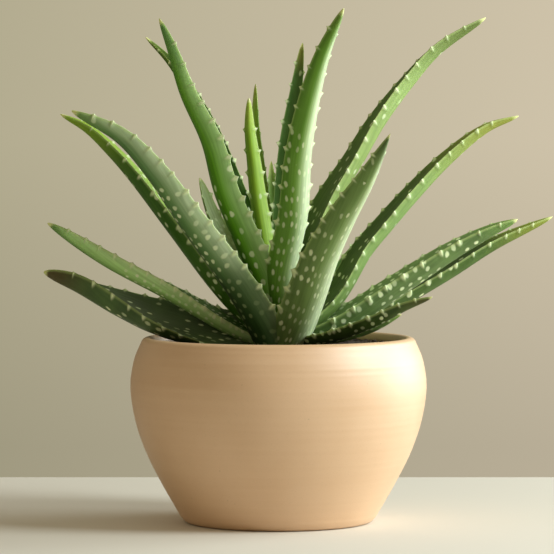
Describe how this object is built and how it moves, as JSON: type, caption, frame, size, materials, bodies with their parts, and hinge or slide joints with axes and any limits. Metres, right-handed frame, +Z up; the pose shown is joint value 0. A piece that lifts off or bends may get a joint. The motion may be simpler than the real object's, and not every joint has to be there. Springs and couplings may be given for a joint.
{
  "type": "potted aloe vera",
  "caption": "Potted aloe vera: a rosette of fleshy, toothed, pale-spotted leaves on a short stem, in soil in a bellied tan ceramic pot.",
  "frame": {"origin": "middle of the flat foot of the pot, on the surface the pot stands on", "axes": "+Z up along the pot's axis; the front of the plant faces -Y, with +X to its right as seen from the front"},
  "size_m": [0.28, 0.1877, 0.275],
  "materials": {
    "pot": "satin tan stoneware with faint turning lines",
    "soil": "dark loose potting mix",
    "stem": "matt, fleshy",
    "leaf": "waxy green with pale oblong spots",
    "leaf_young": "waxy lime green",
    "leaf_low": "waxy dark green with brownish tip"
  },
  "bodies": {
    "root": {"pot": "pot", "soil": "soil", "stem": "stem", "leaf_young_front": "leaf_young", "leaf_young_back": "leaf_young", "leaf_young_short": "leaf_young", "leaf_centre_spiny": "leaf", "leaf_centre_tall": "leaf", "leaf_left_tall": "leaf", "leaf_left_tall_back": "leaf", "leaf_right_tall": "leaf", "leaf_back_tall": "leaf", "leaf_left_short": "leaf", "leaf_right_curved": "leaf", "leaf_right_front": "leaf", "leaf_left_behind": "leaf", "leaf_left_front": "leaf", "leaf_back_left": "leaf", "leaf_back_right": "leaf", "leaf_right_long": "leaf", "leaf_right_low": "leaf", "leaf_left_low": "leaf", "leaf_back_low": "leaf", "leaf_front_low": "leaf_low", "leaf_front_small": "leaf", "leaf_left_lowest": "leaf_low"}
  },
  "joints": []
}
